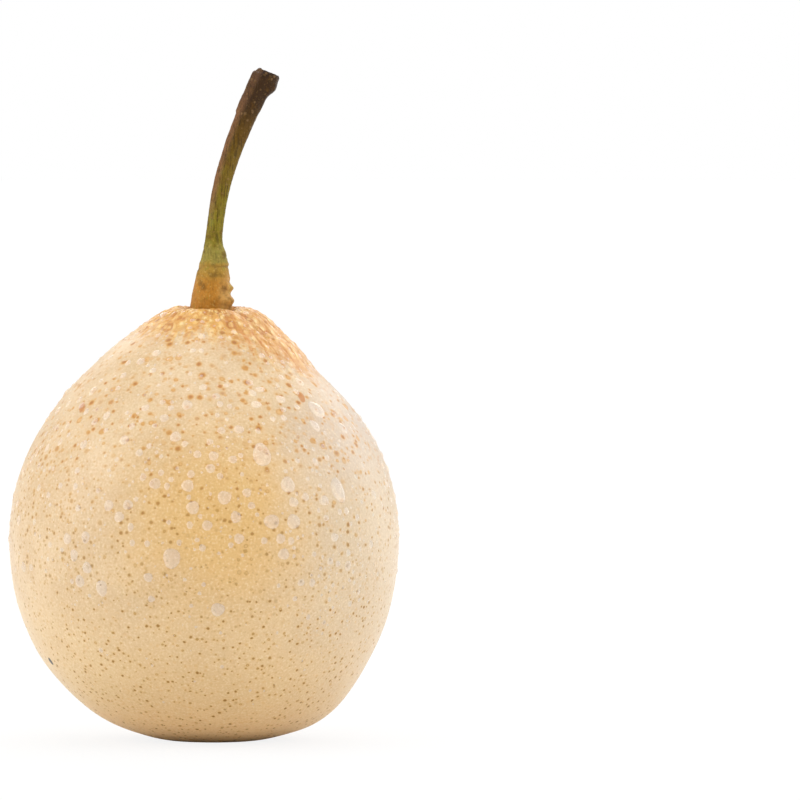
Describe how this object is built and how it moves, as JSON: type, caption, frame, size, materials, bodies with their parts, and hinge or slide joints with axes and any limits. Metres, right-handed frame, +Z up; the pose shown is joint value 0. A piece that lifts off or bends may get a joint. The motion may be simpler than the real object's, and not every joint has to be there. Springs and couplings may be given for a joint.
{
  "type": "pear",
  "caption": "Pale yellow white pear with its long woody stem, standing on a narrow flat ring around its blossom basin.",
  "frame": {"origin": "on the surface that the pear stands on, under the middle of its widest ring", "axes": "+Z up through the crown and the stem, +X towards the side that the stem leans to"},
  "size_m": [0.0752, 0.0757, 0.13],
  "materials": {
    "skin": "soft waxy gloss, finely dotted with brown lenticels",
    "stem": "smooth green bark, brown towards the cut end",
    "dry_blossom": "dry and corky"
  },
  "bodies": {
    "root": {"fruit": "skin", "stem": "stem", "blossom_remnant": "dry_blossom"}
  },
  "joints": []
}
